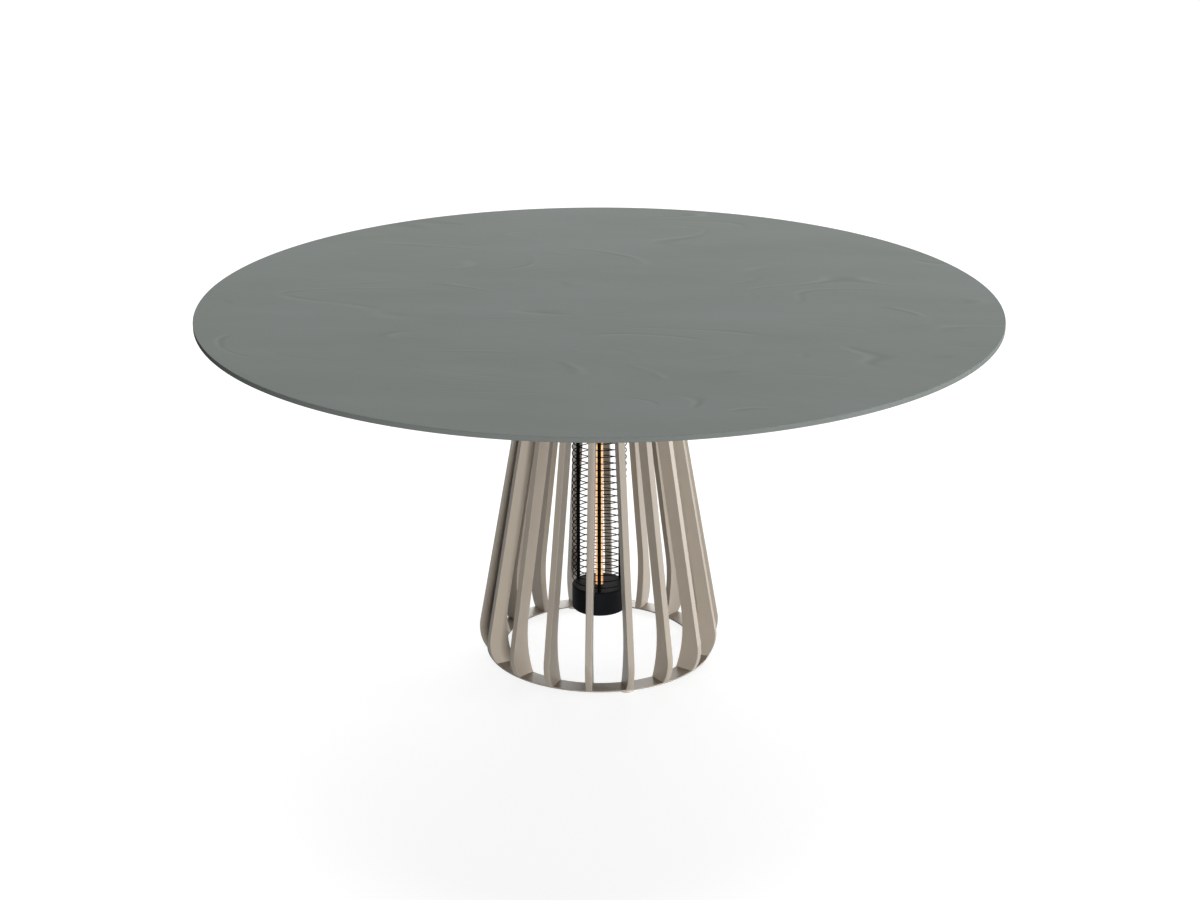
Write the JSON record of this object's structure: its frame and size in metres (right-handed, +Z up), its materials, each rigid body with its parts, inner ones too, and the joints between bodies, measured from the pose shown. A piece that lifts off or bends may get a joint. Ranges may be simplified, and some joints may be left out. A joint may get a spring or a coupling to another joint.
{
  "type": "round patio table with built-in heater",
  "caption": "Round outdoor dining table with a thin stone top on a cone of upright metal slats, and an electric heater hanging in a wire guard inside the base.",
  "frame": {"origin": "on the floor, on the vertical axis of the table", "axes": "+Z up along the table's axis; -Y towards the first slat, the side that the picture shows; +X to the right of that view"},
  "size_m": [1.5998, 1.5998, 0.75],
  "materials": {
    "top_slab": "matte, honed",
    "frame_paint": "satin powder coat",
    "arm_paint": "satin powder coat",
    "screw_steel": "plain",
    "heater_paint": "satin",
    "heater_casting": "satin black coat",
    "guard_paint": "satin",
    "gland_plastic": "matte",
    "lamp_glass": "clear quartz",
    "element": "glowing",
    "holder_ceramic": "unglazed",
    "foot_rubber": "natural nylon, matte"
  },
  "bodies": {
    "table": {"table_top": "top_slab", "hub_plate": "frame_paint", "base_ring": "frame_paint", "foot_bushes": "frame_paint", "top_screws": "screw_steel", "heater_flange": "heater_paint", "heater_screws": "screw_steel", "upper_housing": "heater_casting", "cable_gland": "gland_plastic", "guard_rods": "guard_paint", "guard_coil": "guard_paint", "lamp_tube": "lamp_glass", "heating_element": "element", "lamp_holders": "holder_ceramic", "lower_cap": "heater_casting", "slat_01": "frame_paint", "slat_02": "frame_paint", "slat_03": "frame_paint", "slat_04": "frame_paint", "slat_05": "frame_paint", "slat_06": "frame_paint", "slat_07": "frame_paint", "slat_08": "frame_paint", "slat_09": "frame_paint", "slat_10": "frame_paint", "slat_11": "frame_paint", "slat_12": "frame_paint", "slat_13": "frame_paint", "slat_14": "frame_paint", "slat_15": "frame_paint", "slat_16": "frame_paint", "slat_17": "frame_paint", "slat_18": "frame_paint", "top_arm_1": "arm_paint", "top_arm_2": "arm_paint", "top_arm_3": "arm_paint", "top_arm_4": "arm_paint", "top_arm_5": "arm_paint", "top_arm_6": "arm_paint"},
    "foot_1": {"levelling_foot_1": "foot_rubber"},
    "foot_2": {"levelling_foot_2": "foot_rubber"},
    "foot_3": {"levelling_foot_3": "foot_rubber"},
    "foot_4": {"levelling_foot_4": "foot_rubber"}
  },
  "joints": [
    {"name": "foot_1_screw", "type": "slide", "parent": "table", "child": "foot_1", "axis": [0, 0, -1], "range_m": [0, 0.01]},
    {"name": "foot_2_screw", "type": "slide", "parent": "table", "child": "foot_2", "axis": [0, 0, -1], "range_m": [0, 0.01]},
    {"name": "foot_3_screw", "type": "slide", "parent": "table", "child": "foot_3", "axis": [0, 0, -1], "range_m": [0, 0.01]},
    {"name": "foot_4_screw", "type": "slide", "parent": "table", "child": "foot_4", "axis": [0, 0, -1], "range_m": [0, 0.01]}
  ]
}
